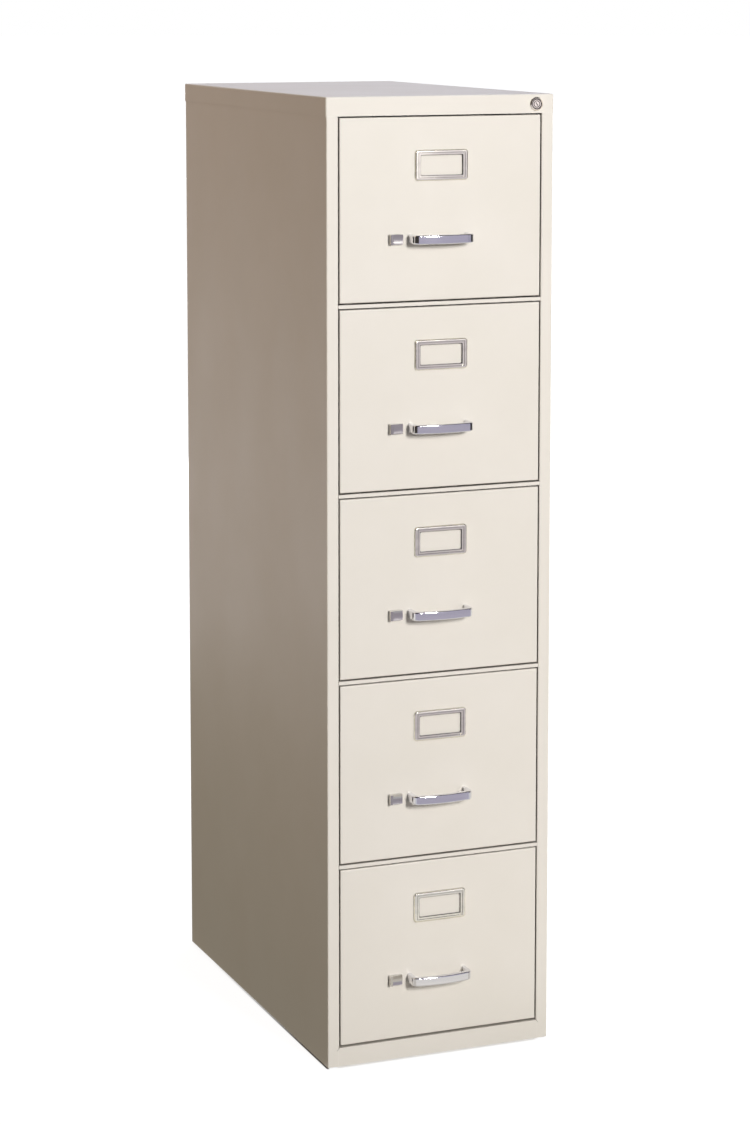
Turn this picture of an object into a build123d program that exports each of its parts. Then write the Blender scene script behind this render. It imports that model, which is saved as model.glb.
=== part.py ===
from build123d import *
import math
import os

# A letter-width vertical filing cabinet with a column of equal drawers, in millimetres.
# The front faces -Y, +X is to the right as seen from the front, and +Z is up.
# The origin is on the floor, under the middle of the outline from pulls to back.

# Case
case_width = 379.0  # across the two side panels
case_depth = 672.0  # front plane to the back faces of the side panels
case_height = 1520.0  # bottom edge of the side panels to the underside of the cap
glide_lift = 3.0  # floor to the bottom edge of the side panels
drawer_count = 5
case_sheet = 1.0
back_sheet = 0.8
bend_radius = 1.0  # inside radius of the folds that show
cut_margin = 1.0  # how far a cut runs past the faces that it opens

# Top cap and the channel behind its front edge
cap_sheet = 1.0
cap_flange = 29.8
cap_corner = 2.5
cap_edge = 2.4
channel_depth = 34.0
channel_back_leg = 16.0

# Front frame
stile_width = 19.4
stile_return = 14.0
rear_flange = 18.0
bottom_rail_height = 30.0
bottom_rail_depth = 16.0
notch_length = 5.5  # diagonal cut at each lower corner, where the folds of stile and rail meet
notch_width = 0.7
cross_rail_height = 5.5
cross_rail_depth = 25.0

# Drawer fronts and the gaps round them
gap_side = 2.0
gap_above = 2.3  # also below every drawer but the lowest
gap_bottom = 3.5  # between the lowest drawer and the bottom rail
front_depth = 18.0
front_corner = 1.8
drawer_sheet = 0.9
liner_margin = 1.0  # edge of the front to the edge of the liner that closes it

# Trays
tray_rise = 12.0  # bottom edge of the front to the underside of the tray
tray_height = 245.0
tray_back_room = 22.0  # back of the tray to the back of the case
tray_roll = 6.0
tray_roll_lip = 4.0
tray_back_drop = 18.0  # top of the sides to the top of the back
track_slot_width = 5.0
track_slot_spacing = 90.0
track_slot_start = 40.0  # liner to the front end of the slots
track_slot_end = 20.0  # back end of the slots to the back of the tray

# Base pan and glides
base_flange_height = 18.2
glide_inset = 25.0
glide_clearance = 1.5  # edge of a foot to the base pan's folded edge
glide_foot_radius = 12.0
glide_foot_height = 8.0
glide_stud_radius = 4.0
glide_stud_height = 11.0
glide_nut_width = 13.0
glide_nut_height = 6.0

# Uprights that carry the slides
frame_sheet = 1.2
upright_depth = 19.8  # side panel to the face that the slides are fixed to
upright_width = 40.0
upright_flange = 10.0
front_upright_start = 31.5  # front plane to the front leg
rear_upright_end = 34.0  # back leg to the back of the case

# Telescoping slides
slide_width = 12.7  # upright to the side of the tray
slide_height = 44.0
slide_level = 82.0  # bottom edge of the front to the centre of the slide
slide_start = 22.0  # front plane to the front end of the fixed member
slide_end_room = 16.0  # back end of the fixed member to the back of the case
slide_shoe = 1.5  # thickness of the bearing shoes
slide_shoe_length = 40.0
slide_shoe_cover = 3.0  # part of a member that still covers a shoe when the drawer is out
slide_shoe_edge = 1.6  # tip of the flange to the side of a shoe
slide_gap = 0.3  # running clearance above and below
slide_side_gap = 0.4
slide_open_edge = 1.2  # how far the flanges stop short of the part that faces them
middle_setback = 4.0  # behind the front end of the fixed member
middle_end_room = 22.0
inner_setback = 2.0
inner_end_room = 18.0
drawer_travel = 610.0
bumper_length = 8.0
bumper_height = 20.0

# Pulls
pull_offset = -4.5
pull_level = 96.0  # bottom edge of the front to the middle of the pull and latch
pull_length = 101.0
pull_shoulder = 29.0  # how far the ends of the bow stand out
pull_reach = 33.0  # how far its middle stands out
pull_corner = 8.0
pull_height = 14.2
pull_thickness = 6.5
pull_edge = 2.2  # rounding of the front's upper and lower edges

# Label holders
label_level = 208.5
label_width = 88.5
label_height = 47.5
label_corner = 5.0
label_window_width = 70.0
label_window_height = 31.0
label_window_corner = 2.3
label_proud = 3.6
label_outer_round = 2.6
label_inner_round = 1.2
label_land_width = 3.8  # sunk step round the window
label_land_depth = 0.6
card_width = 80.0
card_height = 38.0
card_gap = 1.0

# Thumb latches
button_left = -87.2
button_width = 21.8
button_height = 15.3
button_proud = 6.0
button_lip_width = 4.2
button_lip_proud = 2.0
button_lip_round = 0.6
button_round = 1.2
button_dish_radius = 24.0
button_dish_depth = 1.4
latch_travel = 6.0
latch_bar_depth = 6.0  # front plane to the front of the sliding bar
latch_bar_thickness = 1.5
latch_bar_height = 10.0
latch_stem_inset = 7.0
latch_stem_width = 8.0
latch_stem_height = 6.0
latch_stop_gap = 0.5  # tongue tip to the stile
latch_guide_width = 8.0
latch_guide_wall = 3.0  # above and below the bar
latch_guide_back = 1.5  # behind the bar
latch_guide_inset = 8.0
running_gap = 0.3
strike_height = 14.0
strike_margin = 1.0

# Follower blocks
follower_width = 286.0
follower_height = 190.0
follower_foot = 70.0
follower_lean = 12.0  # degrees back from upright
follower_sheet = 1.2
follower_roll = 8.0
follower_back_gap = 4.0
hook_length = 30.0
hook_foot = 3.0  # overlap under the tray on each side of the slot
hook_sheet = 1.5
gusset_height = 110.0
gusset_inset = 50.0

# Lock and lock bar
lock_inset = 29.0  # outside of the case to the middle of the lock
lock_drop = 14.6  # underside of the cap to the middle of the lock
lock_flange_radius = 10.75
lock_flange_proud = 2.8
lock_flange_bevel = 1.8
lock_barrel_radius = 9.2
lock_barrel_length = 16.0
lock_hole_gap = 0.2
plug_radius = 7.4
plug_gap = 0.08
plug_recess = 0.6
key_slot_length = 6.0
key_slot_width = 1.4
key_slot_depth = 5.0
key_slot_tilt = 30.0
cam_gap = 0.5
cam_thickness = 2.0
cam_radius = 6.5
cam_pin_throw = 8.0
cam_pin_radius = 1.5
cam_pin_rim = 1.5
cam_pin_length = 5.5
cam_swing = 90.0
cam_pin_gap = 0.5
bar_start = 23.5  # front plane to the front of the lock bar
bar_thickness = 1.5
bar_width = 12.0
bar_inset = 4.5  # side panel to the lock bar
bar_bottom = 62.0
bar_arm_height = 12.0
tab_height = 10.0
tab_level = 190.0  # bottom edge of the front to the bottom of a tab at rest
tab_overlap = 5.0  # how far a tab reaches past the catch's edge
catch_reach = 9.0
catch_gap = 1.0  # above a lowered tab
catch_back_gap = 3.5  # behind a tab
catch_rise = 2.7  # top of a raised tab to the top of the catch
catch_length = 16.0
guide_drop = 25.0  # bottom of a tab to the guide below it
guide_wall = 2.0
guide_end_wall = 1.0
guide_tab_height = 14.0

# Places worked out from the sizes above
half_case = case_width / 2
half_inside = half_case - case_sheet
half_opening = half_case - stile_width
bend_width = case_sheet + bend_radius
half_front = half_opening - gap_side
slide_face = half_inside - upright_depth
half_tray = slide_face - slide_width
front_y = (pull_reach - case_depth - cap_sheet) / 2
back_y = front_y + case_depth
back_inner_y = back_y - case_sheet - back_sheet
case_bottom = glide_lift
case_top = case_bottom + case_height
cap_bottom = case_top + cap_sheet - cap_flange
base_top = case_bottom + base_flange_height
opening_bottom = case_bottom + bottom_rail_height
rails_and_gaps = (drawer_count - 1) * (cross_rail_height + 2 * gap_above)
clear_height = cap_bottom - gap_above - opening_bottom - gap_bottom
front_height = (clear_height - rails_and_gaps) / drawer_count
pitch = front_height + cross_rail_height + 2 * gap_above
rear_upright_start = case_depth - rear_upright_end - upright_width
tray_front_y = front_y + front_depth
tray_back_y = back_y - tray_back_room
lock_x = half_case - lock_inset
lock_z = case_top - lock_drop
lock_travel = 2 * cam_pin_throw * math.sin(math.radians(cam_swing / 2))


def front_bottom(number):
    """Height of the bottom edge of a drawer front; drawer 1 is the top one."""
    return opening_bottom + gap_bottom + (drawer_count - number) * pitch


def block(x, y, z):
    """A box from its (low, high) limits along each axis."""
    spans = (x, y, z)
    size = [high - low for low, high in spans]
    middle = [(high + low) / 2 for low, high in spans]
    return Pos(*middle) * Box(*size)


def around(centre, size):
    """The (low, high) limits of a size about its centre."""
    return (centre - size / 2, centre + size / 2)


def along_x(section, low, high):
    """A (y, z) section carried along X."""
    return extrude(Plane.YZ.offset(low) * section, amount=high - low)


def along_y(section, low, high):
    """An (x, z) section carried along Y."""
    return extrude(Plane.XZ.offset(-low) * section, amount=low - high)


def along_z(section, low, high):
    """An (x, y) section carried along Z."""
    return extrude(Plane.XY.offset(low) * section, amount=high - low)


def both_sides(right_part):
    """A part of the right side and its mirror image on the left."""
    return [right_part, mirror(right_part, about=Plane.YZ)]


def folded(points, sheet, inside_radius=0.0):
    """Section of a folded sheet that lies to the left of the line through its points."""
    headings = []
    for (x0, y0), (x1, y1) in zip(points, points[1:]):
        length = math.hypot(x1 - x0, y1 - y0)
        headings.append(((x1 - x0) / length, (y1 - y0) / length))
    before = [headings[0]] + headings
    after = headings + [headings[-1]]
    inner = []
    for (x, y), (ax, ay), (bx, by) in zip(points, before, after):
        mitre = sheet / (1 + ax * bx + ay * by)
        inner.append((x - (ay + by) * mitre, y + (ax + bx) * mitre))
    turns = [ax * by - ay * bx for (ax, ay), (bx, by) in zip(headings, headings[1:])]
    if inside_radius == 0:
        return make_face(Polyline(*points, *inner[::-1], close=True).edges())
    line_radii = [inside_radius + (sheet if turn > 0 else 0) for turn in turns]
    inner_radii = [inside_radius + (0 if turn > 0 else sheet) for turn in turns]
    line = FilletPolyline(*points, radius=line_radii)
    inner_line = FilletPolyline(*inner, radius=inner_radii)
    ends = [Line(points[-1], inner[-1]), Line(inner[0], points[0])]
    return make_face(line.edges() + inner_line.edges() + ends)


# Case shell


def corner_notch():
    """Diagonal cut from the right lower corner of the opening, as deep as the folds there."""
    reach = notch_length / 2 * math.sin(math.radians(45))
    slit = Box(notch_length, 2 * bend_width, notch_width)
    return Pos(half_opening + reach, front_y, opening_bottom - reach) * Rot(0, 45, 0) * slit


def side_panel():
    """Right side panel, folded round to the front stile and to the rear flange."""
    path = [
        (half_opening, front_y + stile_return),
        (half_opening, front_y),
        (half_case, front_y),
        (half_case, back_y),
        (half_case - rear_flange, back_y),
    ]
    panel = along_z(folded(path, case_sheet, bend_radius), case_bottom, case_top)
    behind_cap = (cap_bottom, case_top + cut_margin)
    beside_rail = (case_bottom - cut_margin, opening_bottom)
    fold = (front_y - cut_margin, front_y + stile_return + cut_margin)
    face = (front_y - cut_margin, front_y + cap_sheet)
    edge = half_opening - cut_margin
    panel -= block((edge, half_inside), fold, behind_cap)
    panel -= block((edge, half_case + cut_margin), face, behind_cap)
    panel -= block((edge, half_opening + bend_width), fold, beside_rail)
    return panel - corner_notch()


def left_panel():
    """Left side panel, with a strike window in its stile for each latch."""
    panel = mirror(side_panel(), about=Plane.YZ)
    through = (-half_opening - case_sheet - cut_margin, -half_opening + cut_margin)
    bar_y = front_y + latch_bar_depth
    deep = (bar_y - strike_margin, bar_y + latch_bar_thickness + strike_margin)
    for number in range(1, drawer_count + 1):
        panel -= block(through, deep, around(front_bottom(number) + pull_level, strike_height))
    return panel


def top_cap():
    """Cap folded down over the case on all four sides, with the hole for the lock."""
    half_cap = half_case + cap_sheet
    cap = block((-half_cap, half_cap), (front_y, back_y + cap_sheet), (cap_bottom, case_top + cap_sheet))
    cap = fillet(cap.edges().filter_by(Axis.Z), cap_corner)
    cap = fillet(cap.faces().sort_by(Axis.Z)[-1].edges(), cap_edge)
    inside = (cap_bottom - cut_margin, case_top)
    hollow = block((-half_case, half_case), (front_y + cap_sheet, back_y), inside)
    rear_corners = hollow.edges().filter_by(Axis.Z).sort_by(Axis.Y)[-2:]
    hollow = fillet(rear_corners, cap_corner - cap_sheet)
    return cap - hollow - lock_hole()


def lock_hole():
    """Clearance for the lock barrel through the cap and the channel behind it."""
    hole = Pos(lock_x, lock_z) * Circle(lock_barrel_radius + lock_hole_gap)
    return along_y(hole, front_y - cut_margin, front_y + cap_sheet + case_sheet + cut_margin)


def lock_channel():
    """Upright-edged channel across the top, which carries the lock."""
    near = front_y + cap_sheet
    path = [
        (near, case_top),
        (near, cap_bottom),
        (front_y + channel_depth, cap_bottom),
        (front_y + channel_depth, cap_bottom + channel_back_leg),
    ]
    channel = along_x(folded(path, case_sheet), -half_inside, half_inside)
    bar_x, bar_y = lock_bar_section()
    slot = [(low - running_gap, high + running_gap) for low, high in (bar_x, bar_y)]
    channel -= block(*slot, (cap_bottom - cut_margin, cap_bottom + case_sheet + cut_margin))
    return channel - lock_hole()


def rail(bottom, height, depth, half_length=half_opening):
    """Channel across the front between the stiles, open to the back."""
    path = [
        (front_y + depth, bottom + height),
        (front_y, bottom + height),
        (front_y, bottom),
        (front_y + depth, bottom),
    ]
    return along_x(folded(path, case_sheet), -half_length, half_length)


def bottom_rail():
    """Rail below the lowest drawer, which runs past the stiles' folds to lie flush with their faces."""
    across = rail(case_bottom, bottom_rail_height, bottom_rail_depth, half_opening + bend_width)
    notch = corner_notch()
    return across - notch - mirror(notch, about=Plane.YZ)


def cross_rails():
    """A rail between each drawer and the one below it."""
    lows = [front_bottom(number) - gap_above - cross_rail_height for number in range(1, drawer_count)]
    return [rail(low, cross_rail_height, cross_rail_depth) for low in lows]


def back_panel():
    """Plain sheet held inside the rear flanges."""
    half_width = half_inside - bend_radius
    return block((-half_width, half_width), (back_inner_y, back_y - case_sheet), (case_bottom, case_top))


def glide_places():
    """Centres of the four glides, at the corners of the base."""
    x = half_case - glide_inset
    near, far = base_pan_depth()
    inset = case_sheet + glide_clearance + glide_foot_radius
    return [(side * x, y) for side in (-1, 1) for y in (near + inset, far - inset)]


def base_pan_depth():
    """Limits along Y of the base pan, between the bottom rail and the back panel."""
    return front_y + bottom_rail_depth, back_y - case_sheet - max(back_sheet, bend_radius)


def base_pan():
    """Pan with its edges folded down and a nut for each glide."""
    near, far = base_pan_depth()
    pan = block((-half_inside, half_inside), (near, far), (case_bottom, base_top))
    pan -= block(
        (-half_inside + case_sheet, half_inside - case_sheet),
        (near + case_sheet, far - case_sheet),
        (case_bottom - cut_margin, base_top - case_sheet),
    )
    under = base_top - case_sheet
    nut = along_z(Rectangle(glide_nut_width, glide_nut_width), under - glide_nut_height, under)
    hole = along_z(Circle(glide_stud_radius + plug_gap), case_bottom, base_top + cut_margin)
    for x, y in glide_places():
        pan = pan + Pos(x, y) * nut - Pos(x, y) * hole
    return pan


def glides():
    """Four levelling glides, each a round foot on a stud."""
    foot = Pos(0, 0, glide_foot_height / 2) * Cylinder(glide_foot_radius, glide_foot_height)
    stud = along_z(Circle(glide_stud_radius), glide_foot_height, glide_foot_height + glide_stud_height)
    return [Pos(x, y) * (foot + stud) for x, y in glide_places()]


def upright(start, top):
    """Right hat-section upright from the base pan to a height."""
    web = slide_face + frame_sheet
    near = front_y + start + frame_sheet
    far = near + upright_width - 2 * frame_sheet
    path = [
        (half_inside, near - frame_sheet - upright_flange),
        (half_inside, near),
        (web, near),
        (web, far),
        (half_inside, far),
        (half_inside, far + frame_sheet + upright_flange),
    ]
    return along_z(folded(path, frame_sheet), base_top, top)


# Slides, drawn for the right side at the level of their centre line


def channel_section(web_x, tip_x, half_height):
    """C-section open towards its flange tips."""
    if tip_x < web_x:
        path = [(tip_x, -half_height), (web_x, -half_height), (web_x, half_height), (tip_x, half_height)]
    else:
        path = [(tip_x, half_height), (web_x, half_height), (web_x, -half_height), (tip_x, -half_height)]
    return folded(path, frame_sheet)


outer_half = slide_height / 2
outer_clear = outer_half - frame_sheet
middle_half = outer_clear - slide_shoe - slide_gap
middle_clear = middle_half - frame_sheet
inner_half = middle_clear - slide_shoe - slide_gap
middle_web = slide_face - frame_sheet - slide_side_gap
inner_tip = middle_web - frame_sheet - slide_side_gap
middle_tip = half_tray + frame_sheet + slide_open_edge
outer_tip = half_tray + slide_open_edge
outer_ends = (front_y + slide_start, back_y - slide_end_room)
middle_ends = (outer_ends[0] + middle_setback, outer_ends[1] - middle_end_room)
inner_ends = (outer_ends[0] + inner_setback, outer_ends[1] - inner_end_room)


def case_runner():
    """Fixed member, screwed to the uprights."""
    return along_y(channel_section(slide_face, outer_tip, outer_half), *outer_ends)


def middle_runner():
    """Floating member with bearing shoes outside its flanges and inside them.

    It moves half as far as the drawer, and its shoes stay covered all the way.
    """
    near, far = middle_ends
    runner = along_y(channel_section(middle_web, middle_tip, middle_half), near, far)
    shoe_x = (middle_tip + slide_shoe_edge, inner_tip)
    outside = (middle_half, middle_half + slide_shoe)
    inside = (middle_clear - slide_shoe, middle_clear)
    places = [
        (far - slide_shoe_length, outside),
        (outer_ends[0] + drawer_travel / 2 + slide_shoe_cover, outside),
        (near, inside),
        (inner_ends[1] - drawer_travel / 2 - slide_shoe_cover - slide_shoe_length, inside),
    ]
    for start, (low, high) in places:
        y = (start, start + slide_shoe_length)
        runner += block(shoe_x, y, (low, high))
        runner += block(shoe_x, y, (-high, -low))
    return runner


def drawer_runner():
    """Moving member, fixed to the side of the tray."""
    return along_y(channel_section(half_tray, inner_tip, inner_half), *inner_ends)


def bumper():
    """Rubber stop at the back of the fixed member, which the moving member meets."""
    near = inner_ends[1] + running_gap
    x = (middle_tip, slide_face - frame_sheet)
    return block(x, (near, near + bumper_length), around(0, bumper_height))


# Drawer pieces, drawn with the bottom edge of the drawer front at height 0


def front_pan():
    """Front pan with rounded edges, the latch's slots and its two guides inside."""
    across = (-half_front, half_front)
    pan = block(across, (front_y, tray_front_y), (0, front_height))
    pan = fillet(pan.faces().sort_by(Axis.Y)[0].edges(), front_corner)
    pan -= block(
        (-half_front + drawer_sheet, half_front - drawer_sheet),
        (front_y + drawer_sheet, tray_front_y + cut_margin),
        (drawer_sheet, front_height - drawer_sheet),
    )
    for guide_x in (guide_left_x(), guide_right_x()):
        pan += latch_guide(guide_x)
    stem_low, stem_high = latch_stem_span()
    pan -= block(
        (stem_low - running_gap, stem_high + latch_travel + running_gap),
        (front_y - cut_margin, front_y + drawer_sheet + running_gap),
        around(pull_level, latch_stem_height + 2 * running_gap),
    )
    return pan - latch_passage((-half_front - cut_margin, -half_front + drawer_sheet + cut_margin))


def front_liner():
    """Sheet that closes the back of the front pan and the front of the tray."""
    half_liner = half_front - liner_margin
    y = (tray_front_y, tray_front_y + drawer_sheet)
    return block((-half_liner, half_liner), y, (liner_margin, front_height - liner_margin))


def latch_stem_span():
    """Limits along X of the stem that joins the button to the sliding bar."""
    low = button_left + latch_stem_inset
    return (low, low + latch_stem_width)


def guide_left_x():
    """Left edge of the guide near the tongue."""
    return -half_front + latch_guide_inset


def guide_right_x():
    """Left edge of the guide near the button."""
    return latch_stem_span()[0] - latch_guide_inset - latch_guide_width


def latch_passage(x):
    """Clearance round the sliding bar between two places along X."""
    near = front_y + latch_bar_depth
    y = (near - running_gap, near + latch_bar_thickness + running_gap)
    return block(x, y, around(pull_level, latch_bar_height + 2 * running_gap))


def latch_guide(low):
    """Loop inside the front that the latch bar slides through."""
    x = (low, low + latch_guide_width)
    far = front_y + latch_bar_depth + latch_bar_thickness + running_gap + latch_guide_back
    height = latch_bar_height + 2 * running_gap + 2 * latch_guide_wall
    loop = block(x, (front_y + drawer_sheet, far), around(pull_level, height))
    return loop - latch_passage((low - cut_margin, low + latch_guide_width + cut_margin))


def drawer_tray():
    """Folded tray with rolled top edges, its back and the two slots for the follower."""
    low = tray_rise
    high = tray_rise + tray_height
    inner = half_tray - tray_roll
    path = [
        (-inner, high - tray_roll_lip),
        (-inner, high),
        (-half_tray, high),
        (-half_tray, low),
        (half_tray, low),
        (half_tray, high),
        (inner, high),
        (inner, high - tray_roll_lip),
    ]
    near = tray_front_y + drawer_sheet
    tray = along_y(folded(path, drawer_sheet), near, tray_back_y)
    back = (tray_back_y - drawer_sheet, tray_back_y)
    tray += block((-half_tray, half_tray), back, (low, high - tray_back_drop))
    slot_y = (tray_front_y + track_slot_start, tray_back_y - track_slot_end)
    slot_z = (low - cut_margin, low + drawer_sheet + cut_margin)
    for slot_x in track_slot_centres():
        tray -= block(around(slot_x, track_slot_width), slot_y, slot_z)
    return tray


def track_slot_centres():
    """The two long slots that guide the follower."""
    return around(0, track_slot_spacing)


def lock_catch():
    """Angle on the right of the tray, which a raised tab of the lock bar blocks."""
    near = front_y + bar_start + bar_thickness + catch_back_gap
    lowered_tab_top = tab_level + tab_height
    path = [
        (half_tray + catch_reach, near),
        (half_tray, near),
        (half_tray, near + catch_length),
    ]
    section = folded(path[::-1], frame_sheet)
    return along_z(section, lowered_tab_top + catch_gap, lowered_tab_top + lock_travel + catch_rise)


def pull():
    """Bow pull: a strap with a rounded front, swept along a bow with round shoulders."""
    half_length = pull_length / 2 - pull_thickness / 2
    shoulder = front_y - pull_shoulder + pull_thickness / 2
    nose = front_y - pull_reach + pull_thickness / 2
    left, right = pull_offset - half_length, pull_offset + half_length
    bow_left = (left + pull_corner, shoulder)
    bow_right = (right - pull_corner, shoulder)
    bow = ThreePointArc(bow_left, (pull_offset, nose), bow_right)
    leg_top = shoulder + pull_corner
    path = Wire([
        Line((left, front_y), (left, leg_top)).edge(),
        ThreePointArc((left, leg_top), shoulder_point(left, pull_corner, shoulder), bow_left).edge(),
        bow.edge(),
        ThreePointArc(bow_right, shoulder_point(right, -pull_corner, shoulder), (right, leg_top)).edge(),
        Line((right, leg_top), (right, front_y)).edge(),
    ])
    half_height = pull_height / 2
    outer, inner = -pull_thickness / 2, pull_thickness / 2
    corners = [(inner, half_height), (outer, half_height), (outer, -half_height), (inner, -half_height)]
    front = FilletPolyline(*corners, radius=(pull_edge, pull_edge))
    strap = make_face(front.edges() + [Line(corners[-1], corners[0])])
    start = Plane(origin=(left, front_y, 0), x_dir=(1, 0, 0), z_dir=(0, -1, 0))
    bar = sweep(start * strap, path=path, transition=Transition.RIGHT)
    return Pos(0, 0, pull_level) * bar


def shoulder_point(leg_x, corner, shoulder):
    """Middle of the quarter turn between a leg and the bow."""
    share = 1 - math.cos(math.radians(45))
    return (leg_x + corner * share, shoulder + abs(corner) * share)


def label_holder():
    """Frame with a rounded rim, a sunk step round its window and a pocket for a card behind it."""
    plate = RectangleRounded(label_width, label_height, label_corner)
    window = RectangleRounded(label_window_width, label_window_height, label_window_corner)
    frame = along_y(plate - window, front_y - label_proud, front_y)
    rims = frame.faces().sort_by(Axis.Y)[0]
    frame = fillet(rims.outer_wire().edges(), label_outer_round)
    rims = frame.faces().sort_by(Axis.Y)[0]
    frame = chamfer(rims.inner_wires()[0].edges(), label_inner_round)
    land = RectangleRounded(
        label_window_width + 2 * label_land_width,
        label_window_height + 2 * label_land_width,
        label_window_corner + label_land_width,
    )
    face = front_y - label_proud
    frame -= along_y(land, face - cut_margin, face + label_land_depth)
    depth = (front_y - card_gap, front_y + cut_margin)
    pocket = block(around(0, card_width), depth, around(0, card_height))
    return Pos(0, 0, label_level) * (frame - pocket)


def thumb_latch():
    """Thumb button, its stem through the front, and the bar that ends in the tongue."""
    near = front_y - running_gap
    face = near - button_proud
    lip_face = face - button_lip_proud
    left, right = button_left, button_left + button_width
    lip_right = left + button_lip_width
    outline = [
        (right, near),
        (right, face),
        (lip_right, face),
        (lip_right, lip_face),
        (left, lip_face),
        (left, near),
    ]
    rounds = (button_round, button_lip_round, button_lip_round, button_round)
    plan = FilletPolyline(*outline, radius=rounds)
    plan = make_face(plan.edges() + [Line(outline[-1], outline[0])])
    button = along_z(plan, *around(0, button_height))
    dish_y = face + button_dish_depth - button_dish_radius
    dish_x = (lip_right + button_round, right + cut_margin)
    button -= along_x(Pos(dish_y, 0) * Circle(button_dish_radius), *dish_x)
    bar_y = front_y + latch_bar_depth
    stem_x = latch_stem_span()
    stem_y = (near - cut_margin, bar_y + latch_bar_thickness)
    stem = block(stem_x, stem_y, around(0, latch_stem_height))
    tip = -half_opening + latch_stop_gap
    bar_x = (tip, stem_x[1] + latch_stem_inset)
    bar = block(bar_x, (bar_y, bar_y + latch_bar_thickness), around(0, latch_bar_height))
    tongue = bar.edges().filter_by(Axis.Z).group_by(Axis.X)[0].sort_by(Axis.Y)[-1]
    bar = chamfer(tongue, latch_bar_thickness / 2)
    return Pos(0, 0, pull_level) * (button + stem + bar)


def follower():
    """Leaning plate on a foot, hooked through the slots in the tray's floor."""
    floor = tray_rise + drawer_sheet + running_gap
    lean = math.radians(follower_lean)
    top = floor + follower_height
    back = tray_back_y - drawer_sheet - follower_back_gap
    heel = back - follower_height * math.tan(lean) - follower_sheet
    path = [
        (back - follower_roll, top),
        (back, top),
        (heel, floor),
        (heel - follower_foot, floor),
    ]
    section = folded(path[::-1], follower_sheet)
    plate = along_x(section, *around(0, follower_width))
    rib_low = (heel - follower_foot / 2, floor + follower_sheet / 2)
    rib_high = (heel + gusset_height * math.tan(lean), floor + gusset_height)
    rib = Polygon(rib_low, (heel, floor + follower_sheet / 2), rib_high)
    for side in (-1, 1):
        x = around(side * (follower_width / 2 - gusset_inset), follower_sheet)
        plate += along_x(rib, *x)
    under = tray_rise - running_gap
    hook_y = (heel - follower_foot + running_gap, heel - follower_foot + hook_length)
    stem = track_slot_width - 2 * running_gap
    for slot_x in track_slot_centres():
        plate += block(around(slot_x, stem), hook_y, (under - hook_sheet, floor + follower_sheet))
        foot_width = track_slot_width + 2 * hook_foot
        plate += block(around(slot_x, foot_width), hook_y, (under - hook_sheet, under))
    return plate


# Lock


def lock_housing():
    """Flanged barrel fixed through the cap, bevelled round its face."""
    bore = plug_radius + plug_gap
    end = front_y + lock_barrel_length
    face = front_y - lock_flange_proud
    profile = Polygon(
        (bore, face),
        (lock_flange_radius - lock_flange_bevel, face),
        (lock_flange_radius, face + lock_flange_bevel),
        (lock_flange_radius, front_y),
        (lock_barrel_radius, front_y),
        (lock_barrel_radius, end),
        (bore, end),
    )
    return Pos(lock_x, 0, lock_z) * revolve(profile, axis=Axis.Y)


def lock_plug():
    """Turning core with its key slot."""
    far = front_y + lock_barrel_length + cam_gap
    near = front_y - lock_flange_proud + plug_recess
    plug = along_y(Circle(plug_radius), near, far)
    key_slot = Rectangle(key_slot_width, key_slot_length)
    slot = along_y(key_slot, near - cut_margin, near + key_slot_depth)
    plug -= Rot(0, -key_slot_tilt, 0) * slot
    return Pos(lock_x, 0, lock_z) * plug


def lock_cam():
    """Cam plate on the back of the core, with the pin that lifts the bar."""
    near = front_y + lock_barrel_length + cam_gap
    far = near + cam_thickness
    turn = math.radians(-cam_swing / 2)
    pin_x, pin_z = cam_pin_throw * math.cos(turn), cam_pin_throw * math.sin(turn)
    lobe = Pos(pin_x, pin_z) * Circle(cam_pin_radius + cam_pin_rim)
    outline = make_hull((Circle(cam_radius).edges() + lobe.edges()))
    cam = along_y(outline, near, far)
    cam += along_y(Pos(pin_x, pin_z) * Circle(cam_pin_radius), far, far + cam_pin_length)
    return Pos(lock_x, 0, lock_z) * cam


def lock_bar_section():
    """Limits along X and Y of the long lock bar."""
    high = half_inside - bar_inset
    near = front_y + bar_start
    return (high - bar_width, high), (near, near + bar_thickness)


def lock_bar():
    """Long bar, its slotted arm for the cam pin, and a tab beside each drawer."""
    bar_x, bar_y = lock_bar_section()
    turn = math.radians(cam_swing / 2)
    arm_z = lock_z - cam_pin_throw * math.sin(turn)
    bar = block(bar_x, bar_y, (bar_bottom, arm_z + bar_arm_height / 2))
    slot_half = cam_pin_radius + cam_pin_gap
    slot_low = lock_x + cam_pin_throw * math.cos(turn) - slot_half
    slot_high = lock_x + cam_pin_throw + slot_half
    arm = block((slot_low - slot_half, bar_x[0]), bar_y, around(arm_z, bar_arm_height))
    through = (bar_y[0] - cut_margin, bar_y[1] + cut_margin)
    arm -= block((slot_low, slot_high), through, around(arm_z, 2 * slot_half))
    tab_x = (half_tray + catch_reach - tab_overlap, bar_x[0])
    lows = [front_bottom(number) + tab_level for number in range(1, drawer_count + 1)]
    return [bar, arm] + [block(tab_x, bar_y, (low, low + tab_height)) for low in lows]


def bar_guides():
    """A guide below the tab of every other drawer, from the top one down."""
    lows = [front_bottom(number) + tab_level for number in range(1, drawer_count + 1, 2)]
    return [bar_guide(low - guide_drop) for low in lows]


def bar_guide(level):
    """Loop on the right front upright that keeps the lock bar in place."""
    bar_x, bar_y = lock_bar_section()
    seat = front_y + front_upright_start
    x = (bar_x[0] - running_gap - guide_wall, bar_x[1] + running_gap + guide_end_wall)
    plate = block(x, (bar_y[0] - running_gap - guide_wall, seat), (level, level + guide_wall))
    plate -= block(
        (bar_x[0] - running_gap, bar_x[1] + running_gap),
        (bar_y[0] - running_gap, bar_y[1] + running_gap),
        (level - cut_margin, level + guide_wall + cut_margin),
    )
    return plate + block(x, (seat - guide_wall, seat), (level, level + guide_tab_height))


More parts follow.
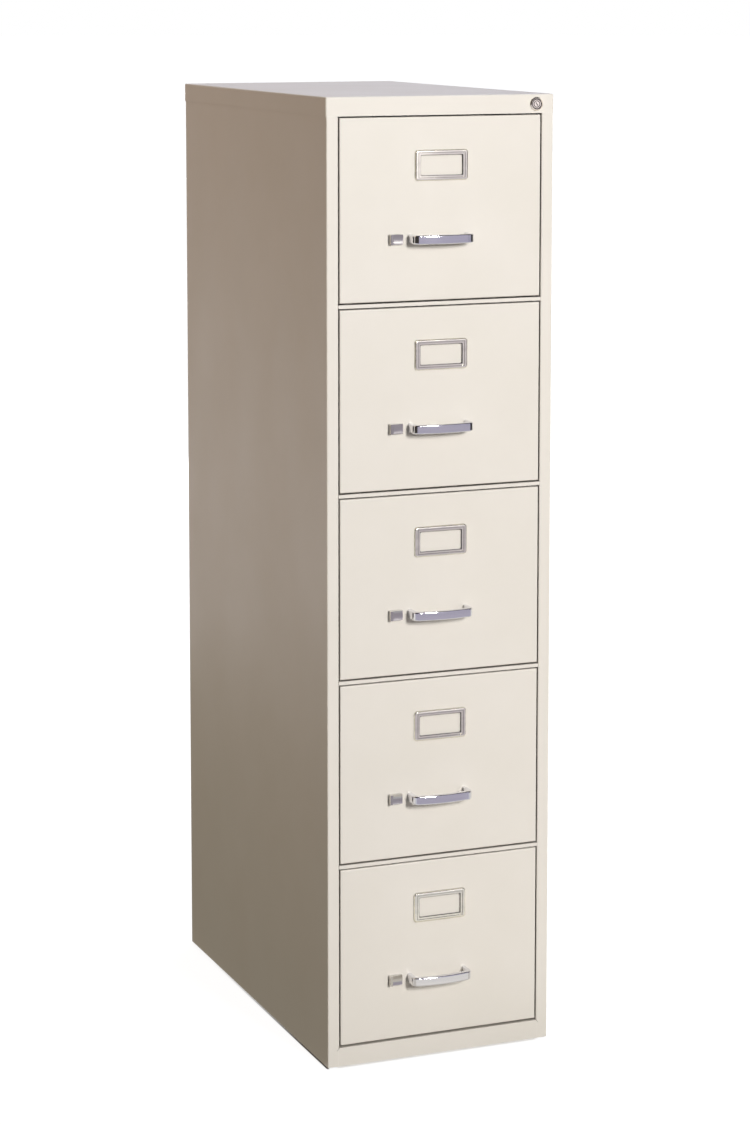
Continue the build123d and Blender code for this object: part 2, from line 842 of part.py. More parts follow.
def write(name, *parts):
    """Write one node, which may hold several separate solids."""
    solids = [solid for part in parts for solid in part.solids()]
    export_step(Compound(children=solids, label=name), os.path.join("parts", name + ".step"))


def main():
    """Build every piece and write its file."""
    os.makedirs("parts", exist_ok=True)
    levels = [front_bottom(number) for number in range(1, drawer_count + 1)]
    lifts = [Pos(0, 0, level + slide_level) for level in levels]
    fixed = {
        "left_side_panel": [left_panel()],
        "right_side_panel": [side_panel()],
        "back_panel": [back_panel()],
        "top_cap": [top_cap()],
        "lock_channel": [lock_channel()],
        "bottom_rail": [bottom_rail()],
        "cross_rails": cross_rails(),
        "base_pan": [base_pan()],
        "glides": glides(),
        "front_uprights": both_sides(upright(front_upright_start, cap_bottom)),
        "rear_uprights": both_sides(upright(rear_upright_start, case_top)),
        "case_runners": [lift * side for lift in lifts for side in both_sides(case_runner())],
        "slide_bumpers": [lift * side for lift in lifts for side in both_sides(bumper())],
        "lock_housing": [lock_housing()],
        "lock_plug": [lock_plug()],
        "lock_cam": [lock_cam()],
        "lock_bar": lock_bar(),
        "lock_bar_guides": bar_guides(),
    }
    for name, parts in fixed.items():
        write(name, *parts)
    slide_lift = Pos(0, 0, slide_level)
    repeated = {
        "drawer_front": [front_pan(), front_liner()],
        "drawer_tray": [drawer_tray(), lock_catch()],
        "drawer_runners": [slide_lift * side for side in both_sides(drawer_runner())],
        "middle_runners": [slide_lift * side for side in both_sides(middle_runner())],
        "pull_handle": [pull()],
        "label_holder": [label_holder()],
        "thumb_latch": [thumb_latch()],
        "follower_block": [follower()],
    }
    for number, level in enumerate(levels, 1):
        for name, parts in repeated.items():
            write(f"{name}_{number}", *[Pos(0, 0, level) * part for part in parts])


main()
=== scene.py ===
import bpy
import math
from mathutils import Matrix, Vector

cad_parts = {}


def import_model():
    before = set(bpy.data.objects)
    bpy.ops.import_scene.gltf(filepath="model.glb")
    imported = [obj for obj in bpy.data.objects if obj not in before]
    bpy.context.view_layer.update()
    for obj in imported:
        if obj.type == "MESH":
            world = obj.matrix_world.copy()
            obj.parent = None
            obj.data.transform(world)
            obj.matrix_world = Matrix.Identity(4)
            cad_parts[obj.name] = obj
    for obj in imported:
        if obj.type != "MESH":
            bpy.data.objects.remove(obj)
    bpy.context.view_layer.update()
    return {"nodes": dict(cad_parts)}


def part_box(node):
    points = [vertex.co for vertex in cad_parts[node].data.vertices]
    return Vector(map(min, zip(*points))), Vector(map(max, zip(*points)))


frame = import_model()
scene = bpy.context.scene


def middle_of(name):
    """Middle of a node's box at rest."""
    low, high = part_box(name)
    return tuple((a + b) / 2 for a, b in zip(low, high))


# Places on the cabinet that the finishes' patterns follow, taken from its own pieces

front_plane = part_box("bottom_rail")[0][1]
plug_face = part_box("lock_plug")[0][1]
drawer_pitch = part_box("drawer_front_4")[0][2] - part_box("drawer_front_5")[0][2]


# Camera, at the photograph's place: from the front left, a little above the cabinet's middle

picture_height = 1125.0
focal_length = 2950.0
sensor_width = 36.0
tilt_down, turn_right = 6.79, 22.05

camera_data = bpy.data.cameras.new("camera")
camera = bpy.data.objects.new("camera", camera_data)
scene.collection.objects.link(camera)
scene.camera = camera
camera_data.sensor_width = sensor_width
camera_data.lens = focal_length / picture_height * sensor_width
camera_data.shift_y = -0.2
camera_data.dof.use_dof = False
camera_data.clip_end = 100.0
camera.location = (-1.797, -4.485, 1.690)
camera.rotation_euler = (math.radians(90.0 - tilt_down), 0.0, math.radians(-turn_right))
scene.view_settings.view_transform = "Standard"


# Colours


def srgb(red, green, blue):
    """Linear colour of an sRGB one written as 0 to 255."""
    def decode(value):
        value /= 255.0
        return value / 12.92 if value <= 0.04045 else ((value + 0.055) / 1.055) ** 2.4
    return (decode(red), decode(green), decode(blue), 1.0)


def linear(red, green, blue):
    """Opaque colour written as it is used, 0 to 1."""
    return (red, green, blue, 1.0)


white = linear(1.0, 1.0, 1.0)
putty = srgb(233, 227, 217)
putty_shade = srgb(230, 224, 213)
# Lighter putty painted on folds and edges as a highlight
putty_painted_highlight = srgb(250, 246, 239)
inner_putty = srgb(224, 217, 206)
inner_putty_shade = srgb(219, 212, 200)
dust_tone = srgb(214, 208, 198)
# Dark tones painted into gaps and inner corners as shade
enamel_gap_shade = srgb(64, 54, 45)
chrome_gap_shade = srgb(70, 64, 58)
# Dark tone painted on plated parts as shade
chrome_painted_shade = srgb(44, 39, 36)
zinc_dull, zinc_bright = srgb(188, 190, 192), srgb(214, 216, 218)
zinc_line = srgb(150, 152, 154)
nylon_white = srgb(226, 224, 216)


# Short calls for building node trees


class Tree:
    """A node tree with short calls for the nodes that the finishes use."""

    def __init__(self, tree):
        self.tree = tree

    def node(self, kind, **settings):
        made = self.tree.nodes.new(kind)
        for name, value in settings.items():
            setattr(made, name, value)
        return made

    def put(self, socket, value):
        """Links a socket to an input, or sets a plain value on it; None leaves it alone."""
        if isinstance(value, bpy.types.NodeSocket):
            self.tree.links.new(value, socket)
        elif value is not None:
            socket.default_value = value

    def fill(self, sockets, values):
        """Puts each value on the input in the same place."""
        for socket, value in zip(sockets, values):
            self.put(socket, value)

    def label(self, made, **values):
        """Puts each value on the input of its name, with spaces for underlines."""
        for name, value in values.items():
            self.put(made.inputs[name.replace("_", " ").capitalize()], value)

    def math(self, operation, *values):
        made = self.node("ShaderNodeMath", operation=operation)
        self.fill(made.inputs, values)
        return made.outputs[0]

    def plus(self, a, b):
        return self.math("ADD", a, b)

    def minus(self, a, b):
        return self.math("SUBTRACT", a, b)

    def times(self, a, b):
        return self.math("MULTIPLY", a, b)

    def larger(self, a, b):
        return self.math("MAXIMUM", a, b)

    def absolute(self, a):
        return self.math("ABSOLUTE", a)

    def vector(self, operation, a, b=None):
        made = self.node("ShaderNodeVectorMath", operation=operation)
        self.fill(made.inputs, (a, b))
        gives_number = operation in ("LENGTH", "DOT_PRODUCT")
        return made.outputs["Value"] if gives_number else made.outputs[0]

    def noise(self, place, scale, detail, roughness):
        made = self.node("ShaderNodeTexNoise")
        self.label(made, vector=place, scale=scale, detail=detail, roughness=roughness)
        return made.outputs["Fac"]

    def remap(self, value, low, high, to_low=0.0, to_high=1.0):
        """Carries the range low to high to another and holds its ends; low may be the larger."""
        made = self.node("ShaderNodeMapRange", clamp=True)
        self.fill(made.inputs, (value, low, high, to_low, to_high))
        return made.outputs[0]

    def band(self, value, centre, outer, inner):
        """1 where a value lies within inner of a centre, fading to 0 at outer."""
        return self.remap(self.absolute(self.minus(value, centre)), outer, inner)

    def mix(self, factor, a, b):
        made = self.node("ShaderNodeMix", data_type="RGBA")
        factor_input, a_input, b_input = 0, 6, 7
        self.put(made.inputs[factor_input], factor)
        self.put(made.inputs[a_input], a)
        self.put(made.inputs[b_input], b)
        return made.outputs[2]

    def place(self):
        return self.node("ShaderNodeTexCoord").outputs["Object"]

    def stretch(self, place, scale):
        made = self.node("ShaderNodeMapping")
        self.label(made, vector=place, scale=scale)
        return made.outputs[0]

    def split(self, place):
        made = self.node("ShaderNodeSeparateXYZ")
        self.put(made.inputs[0], place)
        return made.outputs[0], made.outputs[1], made.outputs[2]

    def group(self, group, **values):
        made = self.node("ShaderNodeGroup", node_tree=group)
        self.label(made, **values)
        return made.outputs


def new_group(name, inputs, outputs):
    """An empty shader group with named inputs and outputs; gives its tree and its two ends."""
    tree = bpy.data.node_groups.new(name, "ShaderNodeTree")
    for label, kind, value in inputs:
        socket = tree.interface.new_socket(label, in_out="INPUT", socket_type=kind)
        if value is not None:
            socket.default_value = value
    for label, kind in outputs:
        tree.interface.new_socket(label, in_out="OUTPUT", socket_type=kind)
    build = Tree(tree)
    start = build.node("NodeGroupInput")
    end = build.node("NodeGroupOutput")
    return tree, build, start.outputs, end.inputs


number, direction = "NodeSocketFloat", "NodeSocketVector"


# Effects that several finishes share


def baked_spray():
    """Sprayed and baked enamel: the height of its fine ripple, and the cloud of a broad noise."""
    tree, build, start, end = new_group(
        "baked spray",
        [("Place", direction, None), ("Ripple size", number, 0.0025), ("Broad size", number, 0.12)],
        [("Height", number), ("Cloud", number)],
    )
    fine_scale = build.math("DIVIDE", 1.0, start["Ripple size"])
    broad_scale = build.math("DIVIDE", 1.0, start["Broad size"])
    fine = build.noise(start["Place"], fine_scale, detail=2.0, roughness=0.45)
    broad = build.noise(start["Place"], broad_scale, detail=3.0, roughness=0.55)
    build.put(end["Height"], fine)
    build.put(end["Cloud"], broad)
    return tree


def handling():
    """Faint handling: smears from a noise drawn out upwards, dust from the peaks of a very fine one."""
    tree, build, start, end = new_group(
        "handling",
        [("Place", direction, None), ("Amount", number, 1.0)],
        [("Smear", number), ("Dust", number)],
    )
    streak_scales, speck_scale = (9.0, 9.0, 3.0), 900.0
    drawn_out = build.stretch(start["Place"], streak_scales)
    streaks = build.noise(drawn_out, scale=1.0, detail=5.0, roughness=0.6)
    specks = build.noise(start["Place"], speck_scale, detail=1.0, roughness=0.5)
    build.put(end["Smear"], build.times(build.remap(streaks, 0.42, 0.68), start["Amount"]))
    build.put(end["Dust"], build.times(build.remap(specks, 0.66, 0.76), start["Amount"]))
    return tree


def rolled_edge():
    """Mask of outer edges: how far a rounded normal turns from the true one."""
    tree, build, start, end = new_group(
        "rolled edge",
        [("Radius", number, 0.001), ("Strength", number, 1.0)],
        [("Mask", number)],
    )
    bevel = build.node("ShaderNodeBevel", samples=4)
    build.label(bevel, radius=start["Radius"])
    true = build.node("ShaderNodeNewGeometry").outputs["True Normal"]
    turn = build.minus(1.0, build.vector("DOT_PRODUCT", bevel.outputs[0], true))
    build.put(end["Mask"], build.times(build.remap(turn, 0.01, 0.2), start["Strength"]))
    return tree


def painted_gap_shade():
    """Mask of painted shade in narrow gaps and inner corners, where little open space lies around a
    point.
    """
    tree, build, start, end = new_group("painted_gap_shade", [("Reach", number, 0.004)], [("Mask", number)])
    open_sky = build.node("ShaderNodeAmbientOcclusion", samples=6)
    build.label(open_sky, distance=start["Reach"])
    hidden = build.minus(1.0, open_sky.outputs["AO"])
    build.put(end["Mask"], build.remap(hidden, 0.44, 0.84))
    return tree


def target():
    """How far a point lies from a centre in the plane of the front, and from a window about it.

    The pattern repeats upwards. Radius is the root of x squared plus z squared, and Outside window
    the larger of |x| less the half width and |z| less the half height."""
    tree, build, start, end = new_group(
        "target",
        [("Place", direction, None), ("Centre", direction, None), ("Repeat", number, 1000.0),
         ("Half width", number, 0.0), ("Half height", number, 0.0)],
        [("Radius", number), ("Outside window", number)],
    )
    x, _, z = build.split(build.vector("SUBTRACT", start["Place"], start["Centre"]))
    half = build.times(start["Repeat"], 0.5)
    z = build.math("WRAP", z, half, build.times(half, -1.0))
    squares = build.plus(build.times(x, x), build.times(z, z))
    beside = build.minus(build.absolute(x), start["Half width"])
    above = build.minus(build.absolute(z), start["Half height"])
    build.put(end["Radius"], build.math("SQRT", squares))
    build.put(end["Outside window"], build.larger(beside, above))
    return tree


def drawn_grain():
    """Long fine lines along one direction, as rolling or brushing leaves them, and broad bands."""
    tree, build, start, end = new_group(
        "drawn grain",
        [("Place", direction, None), ("Stretch", direction, (400.0, 4.0, 400.0))],
        [("Lines", number), ("Bands", number)],
    )
    drawn_out = build.vector("MULTIPLY", start["Place"], start["Stretch"])
    build.put(end["Lines"], build.noise(drawn_out, scale=1.0, detail=3.0, roughness=0.6))
    build.put(end["Bands"], build.noise(drawn_out, scale=0.12, detail=2.0, roughness=0.5))
    return tree


def zinc_flower():
    """Zinc's crystal patches: flat cells, each with its own brightness."""
    tree, build, start, end = new_group(
        "zinc flower",
        [("Place", direction, None), ("Cell size", number, 0.006)],
        [("Patch", number)],
    )
    cells = build.node("ShaderNodeTexVoronoi")
    build.label(cells, vector=start["Place"], scale=build.math("DIVIDE", 1.0, start["Cell size"]))
    patch = build.node("ShaderNodeSeparateColor")
    build.put(patch.inputs[0], cells.outputs["Color"])
    build.put(end["Patch"], patch.outputs[0])
    return tree


spray_group = baked_spray()
handling_group = handling()
edge_group = rolled_edge()
painted_gap_shade_group = painted_gap_shade()
target_group = target()
grain_group = drawn_grain()
flower_group = zinc_flower()


# Kinds of finish


def finish_start(name):
    """A material with its tree, its shader and object coordinates."""
    material = bpy.data.materials.new(name)
    material.use_nodes = True
    build = Tree(material.node_tree)
    shader = next(n for n in material.node_tree.nodes if n.type == "BSDF_PRINCIPLED")
    return material, build, shader, build.place()


def bumped(build, shader, height, distance, strength):
    """Feeds a height to the shader's normal."""
    bump = build.node("ShaderNodeBump")
    build.label(bump, height=height, distance=distance, strength=strength)
    build.put(shader.inputs["Normal"], bump.outputs[0])


def enamel(name, base, shade, roughness=0.38, smear=1.0, edge_highlight=0.8, gap_reach=0.006,
           gap_shade=0.92):
    """Baked enamel on steel: spray ripple and clouding, a painted highlight on its folds, faint
    handling, painted shade in gaps.

    edge_highlight is how far the painted highlight lightens the folds, gap_shade how dark the
    painted shade gets in gaps that are narrower than about gap_reach."""
    fold_radius, dust_share = 0.0012, 0.12
    cloud_swing, smear_swing = 0.07, 0.05
    material, build, shader, place = finish_start(name)
    spray = build.group(spray_group, place=place)
    marks = build.group(handling_group, place=place, amount=smear)
    edge = build.group(edge_group, radius=fold_radius, strength=edge_highlight)
    gap_shading = build.group(painted_gap_shade_group, reach=gap_reach)
    tone = build.mix(build.remap(spray["Cloud"], 0.3, 0.7), base, shade)
    # Painted highlight on folds and edges
    tone = build.mix(edge["Mask"], tone, putty_painted_highlight)
    tone = build.mix(build.times(marks["Dust"], dust_share), tone, dust_tone)
    # Painted shade in gaps and inner corners
    tone = build.mix(build.times(gap_shading["Mask"], gap_shade), tone, enamel_gap_shade)
    build.put(shader.inputs["Base Color"], tone)
    rough = build.plus(build.times(spray["Cloud"], cloud_swing), roughness - cloud_swing / 2)
    rough = build.plus(rough, build.times(marks["Smear"], smear_swing))
    build.put(shader.inputs["Roughness"], rough)
    shader.inputs["IOR"].default_value = 1.5
    bumped(build, shader, spray["Height"], distance=0.000045, strength=0.25)
    return material


def plated(name, base, tint, roughness, line_swing, shade=None):
    """Bright plating: polishing lines in the roughness, clouded colour, painted shade in gaps,
    and more painted shade where shade says so.
    """
    polish_stretch = (60.0, 60.0, 900.0)
    gap_reach, gap_share, smear_swing = 0.0015, 0.85, 0.06
    material, build, shader, place = finish_start(name)
    lines = build.group(grain_group, place=place, stretch=polish_stretch)
    marks = build.group(handling_group, place=place, amount=1.0)
    gap_shading = build.group(painted_gap_shade_group, reach=gap_reach)
    tone = build.mix(build.remap(lines["Bands"], 0.3, 0.7), base, tint)
    # Painted shade in gaps and inner corners
    tone = build.mix(build.times(gap_shading["Mask"], gap_share), tone, chrome_gap_shade)
    # Painted shade where the piece's shade pattern gives 1
    if shade is not None:
        tone = build.mix(shade(build, place), tone, chrome_painted_shade)
    build.put(shader.inputs["Base Color"], tone)
    rough = build.plus(build.times(lines["Lines"], line_swing), roughness)
    rough = build.plus(rough, build.times(marks["Smear"], smear_swing))
    build.put(shader.inputs["Roughness"], rough)
    shader.inputs["Metallic"].default_value = 1.0
    bumped(build, shader, lines["Lines"], distance=0.00001, strength=0.12)
    return material


def zinc_plate(name, dull, bright, roughness=0.34, shoes=None):
    """Zinc-plated steel: crystal patches and rolling lines along Y; shoes gives a mask of nylon."""
    metal_share, line_share = 0.75, 0.35
    patch_swing, line_swing, nylon_swing = 0.14, 0.08, 0.12
    material, build, shader, place = finish_start(name)
    flower = build.group(flower_group, place=place)
    lines = build.group(grain_group, place=place)
    tone = build.mix(flower["Patch"], dull, bright)
    tone = build.mix(build.times(lines["Lines"], line_share), tone, zinc_line)
    rough = build.plus(build.times(flower["Patch"], patch_swing), roughness)
    rough = build.plus(rough, build.times(lines["Lines"], line_swing))
    if shoes is None:
        shader.inputs["Metallic"].default_value = metal_share
    else:
        nylon = shoes(build, place)
        tone = build.mix(nylon, tone, nylon_white)
        build.put(shader.inputs["Metallic"], build.remap(nylon, 0.0, 1.0, metal_share, 0.0))
        rough = build.plus(rough, build.times(nylon, nylon_swing))
    build.put(shader.inputs["Base Color"], tone)
    build.put(shader.inputs["Roughness"], rough)
    bumped(build, shader, lines["Lines"], distance=0.00002, strength=0.3)
    return material


def dark_rubber(name, base, grey, roughness=0.7):
    """Moulded rubber or nylon: fine matt grain with a little bloom."""
    grain_size, bloom_size, grain_swing = 0.0006, 0.01, 0.2
    material, build, shader, place = finish_start(name)
    spray = build.group(spray_group, place=place, ripple_size=grain_size, broad_size=bloom_size)
    build.put(shader.inputs["Base Color"],
              build.mix(build.remap(spray["Cloud"], 0.35, 0.7), base, grey))
    build.put(shader.inputs["Roughness"],
              build.plus(build.times(spray["Height"], grain_swing), roughness - grain_swing / 2))
    bumped(build, shader, spray["Height"], distance=0.00005, strength=0.5)
    return material


# Patterns that follow the form of a piece: each gives 1 where the piece changes its tone, by painted
# shade on the label holder and the lock, by nylon on the runners


def holder_painted_shade(build, place):
    """1 where shade is painted on a label holder: on its window's walls and along its foot, less on the
    step by its land.
    """
    half_width, half_height = 0.035, 0.0155
    land_width, step_share, wall_share = 0.0038, 0.4, 0.9
    window = build.group(target_group, place=place, centre=middle_of("label_holder_5"),
                         repeat=drawer_pitch, half_width=half_width, half_height=half_height)
    outside = window["Outside window"]
    wall = build.remap(outside, 0.0007, 0.0002)
    step = build.times(build.band(outside, land_width, outer=0.0009, inner=0.0003), step_share)
    y = build.split(place)[1]
    foot = build.remap(y, front_plane - 0.0012, front_plane - 0.0006)
    return build.larger(build.times(build.larger(wall, foot), wall_share), step)


def lock_ring_shade(build, place):
    """1 where shade is painted on the lock: in rings round its face and round its plug, and down in the
    key slot.
    """
    rim_radius, groove_radius, slot_reach = 0.0076, 0.0049, 0.0047
    groove_share, ring_share = 0.85, 0.93
    radius = build.group(target_group, place=place, centre=middle_of("lock_plug"))["Radius"]
    rim = build.band(radius, rim_radius, outer=0.0012, inner=0.0007)
    groove = build.times(build.band(radius, groove_radius, outer=0.0010, inner=0.0005),
                         groove_share)
    y = build.split(place)[1]
    slot = build.times(build.remap(radius, slot_reach, slot_reach - 0.0003),
                       build.remap(y, plug_face + 0.0002, plug_face + 0.0006))
    return build.times(build.larger(build.larger(rim, groove), slot), ring_share)


def bearing_shoes(build, place):
    """1 on the nylon shoes above and below a floating slide member's flanges, told by their place."""
    member_x, half_width = 0.16275, 0.0028
    x, _, z = build.split(build.vector("SUBTRACT", place, middle_of("middle_runners_5")))
    level = build.absolute(build.math("WRAP", z, drawer_pitch / 2, -drawer_pitch / 2))
    beside = build.band(build.absolute(x), member_x, outer=half_width + 0.0001, inner=half_width)
    outer_shoe = build.remap(level, 0.01903, 0.01906)
    inner_shoe = build.times(build.remap(level, 0.0162, 0.0163),
                             build.remap(level, 0.01778, 0.01775))
    return build.times(beside, build.larger(outer_shoe, inner_shoe))


# Finishes of the cabinet's pieces

case_enamel = enamel("putty enamel case", putty, putty_shade, edge_highlight=0.4)
rail_enamel = enamel("putty enamel rails", putty, putty_shade, edge_highlight=0.4, gap_shade=0.78)
front_enamel = enamel("putty enamel fronts", putty, putty_shade, roughness=0.36,
                      gap_reach=0.0032, gap_shade=0.7)
tray_enamel = enamel("putty enamel inside", inner_putty, inner_putty_shade, roughness=0.45,
                     smear=2.0)
bright_chrome = plated("bright chrome", linear(0.76, 0.76, 0.78), linear(0.71, 0.71, 0.74),
                       roughness=0.05, line_swing=0.05)
button_chrome = plated("button chrome", linear(0.56, 0.54, 0.50), linear(0.50, 0.48, 0.45),
                       roughness=0.10, line_swing=0.06)
lock_chrome = plated("turned lock chrome", linear(0.95, 0.87, 0.76), linear(0.85, 0.78, 0.68),
                     roughness=0.215, line_swing=0.06, shade=lock_ring_shade)
holder_chrome = plated("holder chrome", linear(0.92, 0.88, 0.75), linear(0.80, 0.77, 0.66),
                       roughness=0.15, line_swing=0.08, shade=holder_painted_shade)
zinc = zinc_plate("zinc plated steel", zinc_dull, zinc_bright)
zinc_runner = zinc_plate("zinc plated runner", zinc_dull, zinc_bright, shoes=bearing_shoes)
zinc_bar = zinc_plate("zinc plated bar", srgb(150, 152, 155), srgb(180, 182, 184), roughness=0.4)
black_nylon = dark_rubber("black nylon foot", srgb(26, 26, 27), srgb(38, 38, 39))
bumper_rubber = dark_rubber("bumper rubber", srgb(34, 33, 32), srgb(48, 47, 45), roughness=0.85)

finishes = {
    "left_side_panel": case_enamel,
    "right_side_panel": case_enamel,
    "back_panel": case_enamel,
    "top_cap": case_enamel,
    "lock_channel": case_enamel,
    "bottom_rail": case_enamel,
    "cross_rails": rail_enamel,
    "base_pan": case_enamel,
    "glides": black_nylon,
    "front_uprights": zinc,
    "rear_uprights": zinc,
    "case_runners": zinc,
    "slide_bumpers": bumper_rubber,
    "lock_housing": lock_chrome,
    "lock_bar_guides": zinc_bar,
    "lock_plug": lock_chrome,
    "lock_cam": zinc_bar,
    "lock_bar": zinc_bar,
    "drawer_front": front_enamel,
    "drawer_tray": tray_enamel,
    "drawer_runners": zinc,
    "middle_runners": zinc_runner,
    "pull_handle": bright_chrome,
    "label_holder": holder_chrome,
    "thumb_latch": button_chrome,
    "follower_block": zinc,
}
for name, piece in frame["nodes"].items():
    piece.data.materials.clear()
    piece.data.materials.append(finishes[name.rstrip("12345_")])


# Floor, world, cards and lamps


def blank_tree(owner):
    """The emptied node tree of a material or a world."""
    owner.use_nodes = True
    owner.node_tree.nodes.clear()
    return Tree(owner.node_tree)


def flat_piece(name, corners):
    """One face with four corners as an object of its own; gives it and its material's tree."""
    mesh = bpy.data.meshes.new(name)
    mesh.from_pydata(corners, [], [(0, 1, 2, 3)])
    made = bpy.data.objects.new(name, mesh)
    scene.collection.objects.link(made)
    material = bpy.data.materials.new(name)
    mesh.materials.append(material)
    return made, blank_tree(material)


def finish_surface(build, output, shader):
    """Ends a tree with its output node."""
    build.put(build.node(output).inputs["Surface"], shader.outputs[0])


def by_ray(build, matt, shown):
    """One shader for camera, glossy and transmission rays, and another for all the rest."""
    rays = build.node("ShaderNodeLightPath").outputs
    seen = build.larger(build.larger(rays["Is Camera Ray"], rays["Is Glossy Ray"]),
                        rays["Is Transmission Ray"])
    blend = build.node("ShaderNodeMixShader")
    build.fill(blend.inputs, (seen, matt.outputs[0], shown.outputs[0]))
    return blend


def floor():
    """A wide flat floor, white to the camera with a soft shadow, and a matt grey that lights the case.

    The matt tone is darker in front of the cabinet's foot and left of it. What the camera sees is a
    white glow with a faint matt veil over it, with painted shade where the foot nearly touches, and
    a dark painted shadow under the left side's lower edge."""
    reach = 400.0
    case_left, case_front = -0.1905, -0.319
    made, build = flat_piece("studio_floor", [(-reach, -reach, 0.0), (reach, -reach, 0.0),
                                              (reach, reach, 0.0), (-reach, reach, 0.0)])
    place = build.place()
    x, y, _ = build.split(place)

    matt = build.node("ShaderNodeBsdfDiffuse")
    grain = build.noise(place, scale=40.0, detail=3.0, roughness=0.5)
    tone = build.mix(grain, srgb(168, 163, 154), srgb(172, 167, 158))
    by_foot = build.times(build.remap(y, -0.52, -0.38), build.remap(y, 0.3, 0.0))
    tone = build.mix(by_foot, tone, srgb(104, 98, 88))
    tone = build.mix(build.remap(x, -0.16, -0.24), tone, srgb(54, 44, 34))
    build.put(matt.inputs["Color"], tone)

    # Painted shade on the floor where the cabinet's foot nearly touches it, from ambient occlusion
    under = build.node("ShaderNodeAmbientOcclusion", samples=8)
    under.inputs["Distance"].default_value = 0.012
    bright = build.mix(build.remap(under.outputs["AO"], 0.15, 0.7), srgb(214, 211, 206), white)
    # A dark painted shadow under the left side's lower edge, placed by position
    painted_shadow_line = build.times(build.remap(x, case_left, case_left + 0.0015),
                       build.remap(x, -0.1850, -0.1862))
    painted_shadow_line = build.times(painted_shadow_line, build.remap(y, 0.25, -0.2))
    painted_shadow_line = build.times(painted_shadow_line, build.remap(y, case_front, case_front + 0.005))
    glow = build.node("ShaderNodeEmission")
    from_middle = build.vector("LENGTH", place)
    build.put(glow.inputs["Strength"], build.remap(from_middle, 1.5, 5.0, 0.93, 1.0))
    build.put(glow.inputs["Color"], build.mix(painted_shadow_line, bright, srgb(30, 26, 22)))
    veil = build.node("ShaderNodeBsdfDiffuse")
    veil.inputs["Color"].default_value = linear(0.22, 0.22, 0.22)
    shown = build.node("ShaderNodeAddShader")
    build.fill(shown.inputs, (glow.outputs[0], veil.outputs[0]))

    finish_surface(build, "ShaderNodeOutputMaterial", by_ray(build, matt, shown))


def world():
    """White to the camera and to polished metal, a dim even sky to matt surfaces."""
    made = bpy.data.worlds.new("studio")
    scene.world = made
    build = blank_tree(made)
    sky = build.node("ShaderNodeBackground")
    build.label(sky, color=linear(0.93, 0.96, 1.0), strength=0.24)
    backdrop = build.node("ShaderNodeBackground")
    build.label(backdrop, color=white, strength=1.0)
    finish_surface(build, "ShaderNodeOutputWorld", by_ray(build, sky, backdrop))


def studio_card(name, corners, tone):
    """A flat card that only polished and glossy surfaces reflect, as a studio's walls and flags do."""
    made, build = flat_piece(name, corners)
    glow = build.node("ShaderNodeEmission")
    build.label(glow, color=tone)
    finish_surface(build, "ShaderNodeOutputMaterial", glow)
    made.visible_camera = False
    made.visible_diffuse = False
    made.visible_shadow = False


def upright_card(name, start, end, top, tone):
    """A card that stands on the floor between two (x, y) points."""
    (x0, y0), (x1, y1) = start, end
    studio_card(name, [(x0, y0, 0.0), (x1, y1, 0.0), (x1, y1, top), (x0, y0, top)], tone)


def level_card(name, low, high, height, tone):
    """A card that lies level between two (x, y) corners."""
    (x0, y0), (x1, y1) = low, high
    studio_card(name, [(x0, y0, height), (x1, y0, height), (x1, y1, height), (x0, y1, height)],
                tone)


def softbox(name, place, target, size, power, tint):
    """A flat lamp aimed at a point."""
    data = bpy.data.lights.new(name, "AREA")
    data.shape = "RECTANGLE"
    data.size, data.size_y = size
    data.energy = power
    data.color = tint
    made = bpy.data.objects.new(name, data)
    scene.collection.objects.link(made)
    made.location = place
    made.rotation_euler = (Vector(target) - Vector(place)).to_track_quat("-Z", "Y").to_euler()


room_left, room_right, room_front, room_back, room_top = -5.0, 9.0, -9.0, 16.0, 9.0
flag_x, flag_near, flag_far, low_flag_top = 3.6, -2.5, 7.0, 1.45
just_above_floor = 0.002
flag_black = linear(0.045, 0.043, 0.045)
warm_white = (1.0, 0.985, 0.96)

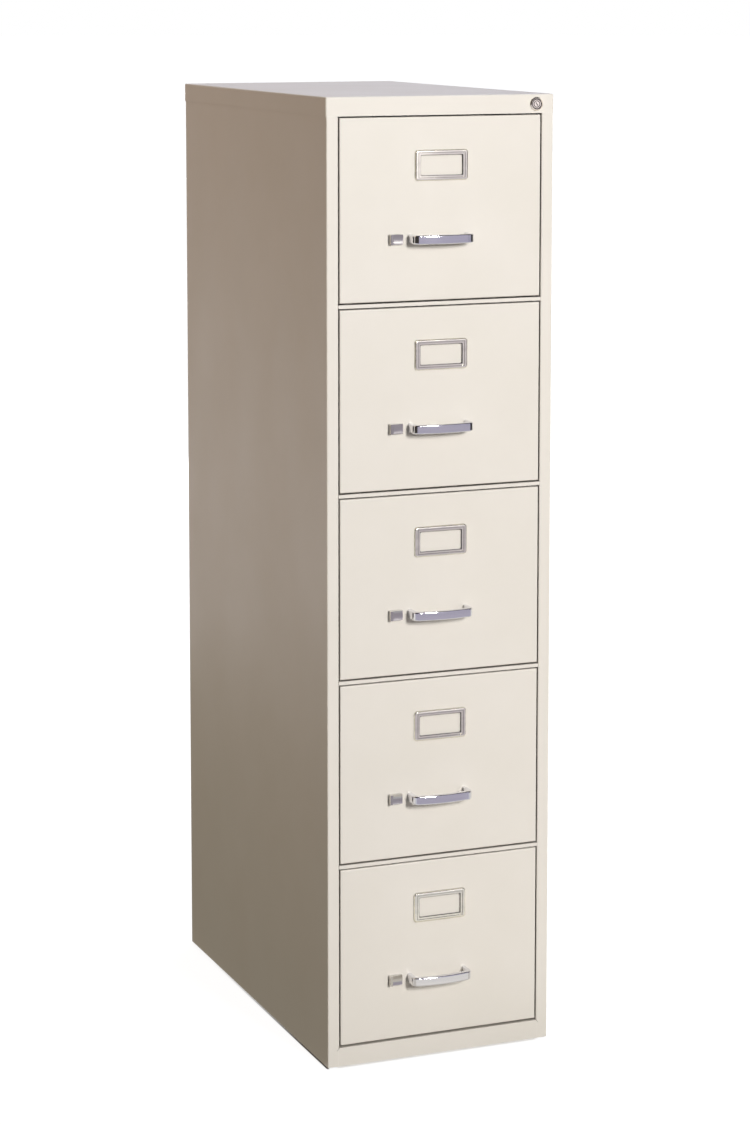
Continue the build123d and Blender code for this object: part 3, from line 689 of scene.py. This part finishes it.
upright_cards = [  # name, (x, y) of one end, (x, y) of the other, top, tone
    ("front_wall", (room_left, room_front), (room_right, room_front), room_top,
     linear(0.50, 0.47, 0.58)),
    ("left_flag", (room_left, room_front), (room_left, room_back), room_top,
     linear(0.05, 0.043, 0.037)),
    ("right_flag", (flag_x, flag_near), (flag_x, flag_far), room_top, flag_black),
    ("low_flag", (flag_x, flag_far), (flag_x, room_back), low_flag_top, flag_black),
    ("right_return", (room_right, room_front), (flag_x, flag_near), room_top,
     linear(0.22, 0.21, 0.25)),
    ("back_wall", (room_left, room_back), (14.0, room_back), room_top, linear(0.95, 0.92, 0.98)),
]
level_cards = [  # name, (x, y) of the low corner, (x, y) of the high corner, height, tone
    ("ceiling_card", (room_left, room_front), (room_right, room_back), room_top,
     linear(0.10, 0.10, 0.11)),
    ("floor_card", (room_left, room_front), (room_right, -1.35), just_above_floor,
     linear(0.50, 0.47, 0.56)),
    ("holder_floor_card", (room_left, -1.35), (room_right, -0.92), just_above_floor,
     linear(0.68, 0.69, 0.76)),
    ("near_floor_card", (room_left, -0.92), (room_right, -0.55), just_above_floor,
     linear(0.86, 0.83, 0.79)),
    ("foot_card", (room_left, -0.55), (room_right, -0.325), just_above_floor,
     linear(0.62, 0.58, 0.52)),
    ("left_floor_card", (-1.2, -0.30), (-0.1905, 2.6), just_above_floor,
     linear(0.22, 0.28, 0.23)),
]
lamps = [  # name, place, aim, size, watts, tint
    ("front softbox", (1.0, -6.4, 2.9), (0.0, -0.3, 0.75), (1.1, 1.4), 352.0, (1.0, 0.99, 0.985)),
    ("top softbox", (1.6, 1.9, 4.2), (0.0, 0.0, 1.2), (1.6, 1.6), 48.0, (0.71, 0.76, 1.0)),
    ("right fill", (4.4, 1.6, 0.85), (0.1, 0.0, 0.75), (2.4, 1.2), 70.0, warm_white),
    ("rear fill", (1.6, 5.6, 0.85), (0.0, 0.3, 0.75), (2.4, 1.1), 90.0, warm_white),
    ("side reflector", (-3.6, 0.8, 2.9), (-0.2, 0.0, 1.3), (1.8, 1.8), 39.0, (1.0, 0.68, 0.41)),
]

floor()
world()
for card in upright_cards:
    upright_card(*card)
for card in level_cards:
    level_card(*card)
for lamp in lamps:
    softbox(*lamp)
